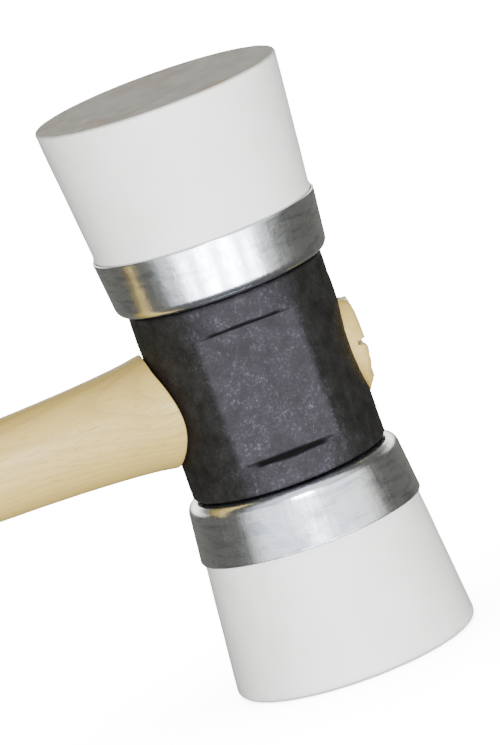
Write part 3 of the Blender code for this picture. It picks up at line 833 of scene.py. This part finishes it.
def roughen_handle(sections):
    """Moves the points: slight unevenness on the grip, and a spread, sagging, torn end on the tenon."""
    axis = Vector((0, 0, HEAD_MIDDLE))
    for point in itertools.chain(*sections):
        on_grip = smooth_step(-point.x, 26 * MM, 40 * MM)
        if on_grip > 0:
            away = (point - axis) * Vector((0, 1, 1))
            uneven = HANDLE_UNEVENNESS * (grain(point * Vector((0.3, 1, 1)), 20 * MM) - 0.8)
            point += away.normalized() * uneven * on_grip
        elif point.x > BODY_RADIUS - 4 * MM:
            torn = TENON_TEAR * min(0.0, grain(point, 3.5 * MM) - 0.25)
            slant = TENON_SLANT * smooth_step(HEAD_MIDDLE - point.z, 0.0, 15 * MM)
            spread = smooth_step(point.x, BODY_RADIUS - 1.2 * MM, BODY_RADIUS + 1.3 * MM)
            outside = smooth_step(point.x, BODY_RADIUS, TENON_END)
            point.z += ((point.z - HEAD_MIDDLE) * TENON_SPREAD - TENON_SAG) * spread
            point.z += TENON_WAVINESS * grain(point + axis, 4 * MM) * outside
            point.x += torn * outside - slant * smooth_step(point.x, BODY_RADIUS - 4 * MM, TENON_END)


def wedge(name, tip_x, back_x, tip_thickness, back_thickness, breadth, across, clearance=0.0):
    """Tapered wedge along X; across is the axis of its thickness."""
    sections = []
    for x, thickness in ((tip_x - clearance, tip_thickness), (back_x, back_thickness)):
        thick = thickness / 2 + clearance
        broad = breadth / 2 + clearance
        section = []
        for thick_side, broad_side in ((-1, -1), (1, -1), (1, 1), (-1, 1)):
            y, z = thick_side * thick, broad_side * broad
            if across == "Z":
                y, z = z, y
            section.append((x, y, HEAD_MIDDLE + z))
        sections.append(section)
    return lofted(name, sections)


def wedge_thickness(x, tip_x, tip_thickness, back_x, back_thickness):
    return tip_thickness + (back_thickness - tip_thickness) * (x - tip_x) / (back_x - tip_x)


def notch_mesh():
    """V groove across the tenon's end: steep above, sloping below."""
    reach = 3 * MM
    floor = TENON_END - NOTCH_DEPTH
    sections = []
    for y in (-EYE_WIDTH, EYE_WIDTH):
        sections.append([
            (floor, y, HEAD_MIDDLE - 0.25 * NOTCH_HEIGHT),
            (floor, y, HEAD_MIDDLE + 0.25 * NOTCH_HEIGHT),
            (TENON_END + reach, y, HEAD_MIDDLE + 0.5 * NOTCH_HEIGHT),
            (TENON_END + reach, y, HEAD_MIDDLE - 2.0 * NOTCH_HEIGHT),
            (TENON_END - 0.5 * NOTCH_DEPTH, y, HEAD_MIDDLE - 0.4 * NOTCH_HEIGHT),
        ])
    return lofted("notch", sections)


def kerf_meshes():
    floor = TENON_END - NOTCH_DEPTH
    back = TENON_END + 4 * MM
    long_kerf = wedge(
        "long_kerf", LONG_KERF_TIP, back, WOOD_WEDGE_TIP,
        wedge_thickness(back, LONG_KERF_TIP, WOOD_WEDGE_TIP, TENON_END, WOOD_WEDGE_BACK),
        2 * EYE_HEIGHT, "Y", GAP)
    cross_back = floor + 0.5 * MM
    cross_kerf = wedge(
        "cross_kerf", STEEL_WEDGE_TIP, cross_back, STEEL_WEDGE_EDGE,
        wedge_thickness(cross_back, STEEL_WEDGE_TIP, STEEL_WEDGE_EDGE, floor, STEEL_WEDGE_BACK + GAP),
        STEEL_WEDGE_WIDTH + 1 * MM, "Z", GAP)
    return long_kerf, cross_kerf


def make_handle(wood, wedge_wood, steel):
    sizes = handle_sizes()
    sections = grip_sections(sizes) + shoulder_sections(sizes) + tenon_sections()
    roughen_handle(sections)
    mesh = lofted("turned_handle", sections, sharp_angle=50)
    handle = add_piece("turned_handle", mesh, wood, "head", "handle")
    long_kerf, cross_kerf = kerf_meshes()
    carve(handle, [long_kerf, cross_kerf, notch_mesh()])

    mesh = wedge("oak_wedge", LONG_KERF_TIP + GAP, TENON_END - 0.6 * MM, WOOD_WEDGE_TIP, WOOD_WEDGE_BACK,
                 WOOD_WEDGE_HEIGHT, "Y")
    oak = add_piece("oak_wedge", mesh, wedge_wood, "head", "wood_wedge")
    carve(oak, [kerf_meshes()[1], notch_mesh()])
    soften(oak, 0.15 * MM)

    sunk = TENON_END - NOTCH_DEPTH - STEEL_WEDGE_SINK
    mesh = wedge("cross_wedge", STEEL_WEDGE_TIP + GAP, sunk, STEEL_WEDGE_EDGE, STEEL_WEDGE_BACK,
                 STEEL_WEDGE_WIDTH, "Z")
    cross = add_piece("cross_wedge", mesh, steel, "head", "steel_wedge")
    soften(cross, 0.25 * MM)


def soften(piece, width):
    """Small rounded edges."""
    bevel = piece.modifiers.new("edges", "BEVEL")
    bevel.width = width
    bevel.segments = 2
    bevel.limit_method = "ANGLE"


# ---------------------------------------------------------------- striking tips

def cup_radius(depth):
    return CUP_LIP_RADIUS - math.tan(CUP_WALL_ANGLE) * (depth - CUP_LIP)


def rubber_mesh(name, edge_radius, placement, seed):
    skin = CUP_SHEET + GAP
    shank = BOLT_RADIUS + GAP
    plate = PLATE_HIGH.x + GAP
    head = BOLT_HIGH.x + GAP
    corners = [
        (0, 0, 0),
        (FACE_RADIUS, 0, edge_radius),
        (RUBBER_LIP_RADIUS + 0.25 * MM, CUP_LIP - 1.6 * MM, 2 * MM),
        (RUBBER_LIP_RADIUS + 0.55 * MM, CUP_LIP - 0.75 * MM, 0.3 * MM),
        (RUBBER_LIP_RADIUS + 0.45 * MM, CUP_LIP - 0.25 * MM, 0.2 * MM),
        (cup_radius(CUP_LIP) - skin, CUP_LIP + 0.2 * MM, 0),
        (cup_radius(RUBBER_FLOOR) - skin, RUBBER_FLOOR, CUP_CORNER_RADIUS - skin),
        (shank, RUBBER_FLOOR, 0),
        (shank, PLATE_HIGH.z + GAP, 0),
        (plate, PLATE_HIGH.z + GAP, 0),
        (plate, PLATE_LOW.z - GAP, 0),
        (head, PLATE_LOW.z - GAP, 0),
        (head, BOLT_LOW.z - GAP, 0),
        (0, BOLT_LOW.z - GAP, 0),
    ]

    def uneven(angle, radius, depth):
        """Moulded rubber is a little out of round, and dented where it has struck."""
        if depth > CUP_LIP or radius < head:
            return radius, depth
        point = Vector((radius * math.cos(angle), radius * math.sin(angle), depth + seed))
        near_face = 1 - smooth_step(depth, 0, 6 * MM)
        swell = 0.10 * MM * (grain(point, 24 * MM) - 0.8)
        chips = 0.22 * MM * min(0.0, grain(point, 4 * MM) - 0.25) * near_face
        return radius + swell + chips, depth

    outline = densified(filleted(corners, EDGE_STEPS), RUBBER_STRETCH)
    return turned(name, outline, RUBBER_SEGMENTS, placement, uneven, sharp_angle=50)


def cup_mesh(name, placement, seed):
    hole = BORE_RADIUS
    lip = 0.38 * MM
    inner = CUP_CORNER_RADIUS - CUP_SHEET
    corners = [
        (CUP_LIP_RADIUS, CUP_LIP, lip),
        (cup_radius(CUP_BASE), CUP_BASE, CUP_CORNER_RADIUS),
        (hole, CUP_BASE, 0.2 * MM),
        (hole, CUP_BASE - CUP_SHEET, 0.2 * MM),
        (cup_radius(CUP_BASE) - CUP_SHEET, CUP_BASE - CUP_SHEET, inner),
        (CUP_LIP_RADIUS - CUP_SHEET, CUP_LIP, lip),
    ]

    def drawn(angle, radius, depth):
        """The wall of a pressed cup carries faint flutes from drawing."""
        share = smooth_step(radius, 27 * MM, 31 * MM)
        place = Vector((3 * math.cos(angle), 3 * math.sin(angle), depth * 25 + seed))
        return radius + 0.04 * MM * (noise.fractal(place, 1.0, 2.0, 3) - 0.9) * share, depth

    outline = densified(filleted(corners, EDGE_STEPS), CUP_STRETCH)
    return turned(name, outline, CUP_SEGMENTS, placement, drawn, sharp_angle=50)


def bolt_mesh(name, placement):
    chamfer = 0.9 * MM
    neck = PLATE_LOW.z
    corners = [
        (0, BOLT_LOW.z, 0),
        (BOLT_HIGH.x, BOLT_LOW.z, 1.0 * MM),
        (BOLT_HIGH.x, neck - GAP, 0.3 * MM),
        (BOLT_RADIUS, neck - GAP, 0),
        (BOLT_RADIUS, BOLT_HIGH.z - chamfer, 0),
        (BOLT_RADIUS - 1.3 * MM, BOLT_HIGH.z, 0),
        (0, BOLT_HIGH.z, 0),
    ]

    def threaded(angle, radius, depth):
        """Cuts the right-hand thread into the shank beyond the cup."""
        if abs(radius) < BOLT_RADIUS - 1.4 * MM or depth < CUP_BASE - 2 * MM:
            return radius, depth
        phase = (depth / THREAD_PITCH - angle / (2 * math.pi)) % 1.0
        flank = abs(2 * phase - 1)
        groove = THREAD_DEPTH * smooth_step(flank, 0.12, 0.92)
        run_in = smooth_step(depth, CUP_BASE - 2 * MM, CUP_BASE - 0.5 * MM)
        return min(radius, BOLT_RADIUS - groove * run_in), depth

    outline = densified(filleted(corners), BOLT_STRETCH)
    return turned(name, outline, BOLT_SEGMENTS, placement, threaded, sharp_angle=70)


def washer_mesh(name, placement):
    """Flat spring-steel ring whose teeth are each twisted a little."""
    low = WASHER_LOW.z
    high = WASHER_HIGH.z
    rim = WASHER_HIGH.x
    root = rim - TOOTH_LENGTH
    inner = root - 0.6 * MM
    outline = [(WASHER_BORE_RADIUS, low), (inner, low), (rim, low), (rim, high), (inner, high),
               (WASHER_BORE_RADIUS, high)]

    def toothed(angle, radius, depth):
        """Teeth fill half of the rim's steps; the gaps between them reach the root."""
        if radius < rim:
            return radius, depth
        step = round(angle / (2 * math.pi) * WASHER_TEETH * TOOTH_STEPS) % TOOTH_STEPS
        if step >= TOOTH_STEPS // 2:
            return root + 0.05 * MM, depth
        twist = TOOTH_TWIST * (2 * step / (TOOTH_STEPS // 2 - 1) - 1)
        thinning = TOOTH_THINNING if depth == low else -TOOTH_THINNING
        return rim, depth + thinning + twist

    return turned(name, outline, WASHER_TEETH * TOOTH_STEPS, placement, toothed)


def make_tip(end, placement, edge_radius, seed, rubber, cup, steel):
    body = end + "_tip"
    add_piece(end + "_white_face", rubber_mesh(end + "_white_face", edge_radius, placement, seed),
              rubber, body, end + "_rubber_face")
    add_piece(end + "_pressed_cup", cup_mesh(end + "_pressed_cup", placement, seed),
              cup, body, end + "_ferrule_cup")
    add_piece(end + "_threaded_bolt", bolt_mesh(end + "_threaded_bolt", placement),
              steel, body, end + "_tip_bolt")
    washer = add_piece(end + "_toothed_washer", washer_mesh(end + "_toothed_washer", placement),
                       steel, end + "_washer", end + "_lock_washer")
    soften(washer, 0.08 * MM)
    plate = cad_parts[end + "_anchor_plate"]
    plate.data.materials.clear()
    plate.data.materials.append(steel)


# ---------------------------------------------------------------- studio

def make_floor():
    mesh = bpy.data.meshes.new("floor")
    corners = (Vector((-1, -1, 0)), Vector((1, -1, 0)), Vector((1, 1, 0)), Vector((-1, 1, 0)))
    mesh.from_pydata([corner * FLOOR_HALF_SIZE for corner in corners], [], [(0, 1, 2, 3)])
    floor = add_object("floor", mesh, floor_material())
    floor.visible_diffuse = False
    floor.visible_glossy = False
    floor.visible_shadow = False
    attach(floor, "lower_tip")


def make_world():
    """Dim room with a folded bright screen behind the camera that sweeps down in front of the object,
    a faint ceiling over it and a low window behind the object."""
    world = bpy.data.worlds.new("studio")
    bpy.context.scene.world = world
    world.use_nodes = True
    tree = world.node_tree
    direction = add_node(tree, "ShaderNodeTexCoord").outputs["Generated"]
    split = add_node(tree, "ShaderNodeSeparateXYZ", Vector=direction).outputs
    level = split["Z"]
    azimuth = computed(tree, "ARCTAN2", split["X"], product(tree, split["Y"], -1.0))
    from_camera = distance_from(tree, azimuth, CAMERA_AZIMUTH)

    fold_angle = product(tree, total(tree, azimuth, FOLD_OFFSET), FOLD_COUNT)
    fold_height = ranged(tree, computed(tree, "COSINE", fold_angle), -1, 1, 0.5, 1.0)
    folds = computed(tree, "POWER", fold_height, FOLD_SHARPNESS)

    across = ranged(tree, distance_from(tree, azimuth, SCREEN_AZIMUTH), *SCREEN_EDGE)
    upright = ranged(tree, level, *SCREEN_TOP, SCREEN_TOP_STRENGTH, SCREEN_STRENGTH)
    screen = product(tree, across, upright, ranged(tree, level, *SCREEN_FOOT),
                     ranged(tree, folds, 0.1, 1.0, 0.95, 1.1))
    narrow = computed(tree, "POWER", ranged(tree, from_camera, *SWEEP_EDGE), 2.0)
    sweep = product(tree, narrow, folds, ranged(tree, level, *SWEEP_TOP, 0.0, SWEEP_STRENGTH),
                    ranged(tree, level, *SWEEP_FOOT),
                    ranged(tree, azimuth, *SWEEP_BOOST_EDGE, 1.0, SWEEP_BOOST))
    ceiling = product(tree, across, ranged(tree, level, *CEILING_FOOT, 0.0, CEILING_STRENGTH))
    opening = product(tree, ranged(tree, level, *WINDOW_FOOT), ranged(tree, level, *WINDOW_TOP))
    window = product(tree, ranged(tree, from_camera, *WINDOW_EDGE),
                     ranged(tree, opening, 0.0, 1.0, WINDOW_GLOW, WINDOW_STRENGTH))

    background = tree.nodes["Background"]
    colour = mixed(tree, ranged(tree, from_camera, *WARM_EDGE), COOL_WHITE, WARM_WHITE)
    tree.links.new(colour, background.inputs["Color"])
    strength = total(tree, screen, sweep, ceiling, window, ROOM_STRENGTH)
    tree.links.new(strength, background.inputs["Strength"])


def make_key_light():
    """Softbox above and a little behind the camera."""
    light = bpy.data.lights.new("key_softbox", "AREA")
    light.shape = "RECTANGLE"
    light.size = KEY_SIZE
    light.size_y = KEY_SIZE
    light.energy = KEY_POWER
    lamp = bpy.data.objects.new("key_softbox", light)
    bpy.context.scene.collection.objects.link(lamp)
    lamp.location = KEY_PLACE
    aim = Vector((0, 0, HEAD_MIDDLE)) - lamp.location
    lamp.rotation_euler = aim.to_track_quat("-Z", "Y").to_euler()
    lamp.visible_camera = False


def make_camera():
    """Long lens from a little above, leaning so that the head tilts to the left."""
    data = bpy.data.cameras.new("camera")
    data.sensor_width = CAMERA_SENSOR
    data.lens = CAMERA_LENS
    data.clip_start = CAMERA_NEAR
    data.clip_end = CAMERA_FAR
    camera = bpy.data.objects.new("camera", data)
    bpy.context.scene.collection.objects.link(camera)
    back = Vector((
        math.sin(CAMERA_AZIMUTH) * math.cos(CAMERA_ELEVATION),
        -math.cos(CAMERA_AZIMUTH) * math.cos(CAMERA_ELEVATION),
        math.sin(CAMERA_ELEVATION),
    ))
    level_right = Vector((0, 0, 1)).cross(back).normalized()
    level_up = back.cross(level_right)
    right = math.cos(CAMERA_ROLL) * level_right - math.sin(CAMERA_ROLL) * level_up
    up = back.cross(right)
    aim = Vector((0, 0, HEAD_MIDDLE)) + right * CAMERA_ASIDE + up * CAMERA_ABOVE
    turn = Matrix((right, up, back)).transposed().to_4x4()
    camera.matrix_world = Matrix.Translation(aim + back * CAMERA_DISTANCE) @ turn
    bpy.context.scene.camera = camera


# ---------------------------------------------------------------- assembly

def main():
    for item in ("Camera", "Light", "Cube"):
        if item in bpy.data.objects:
            bpy.data.objects.remove(bpy.data.objects[item])
    make_camera()
    wood = wood_material("ash_wood", ASH_PALE, ASH_DARK, ASH_PORE)
    wedge_wood = wood_material("oak_wood", OAK_PALE, OAK_DARK, OAK_PORE)
    rubber = rubber_material()
    cup = cup_material()
    steel = steel_material()
    make_casting(iron_material())
    make_handle(wood, wedge_wood, steel)
    make_tip("lower", LOWER, LOWER_FACE_ROUNDING, LOWER_SEED, rubber, cup, steel)
    make_tip("upper", UPPER, UPPER_FACE_ROUNDING, UPPER_SEED, rubber, cup, steel)
    make_floor()
    make_world()
    make_key_light()


main()
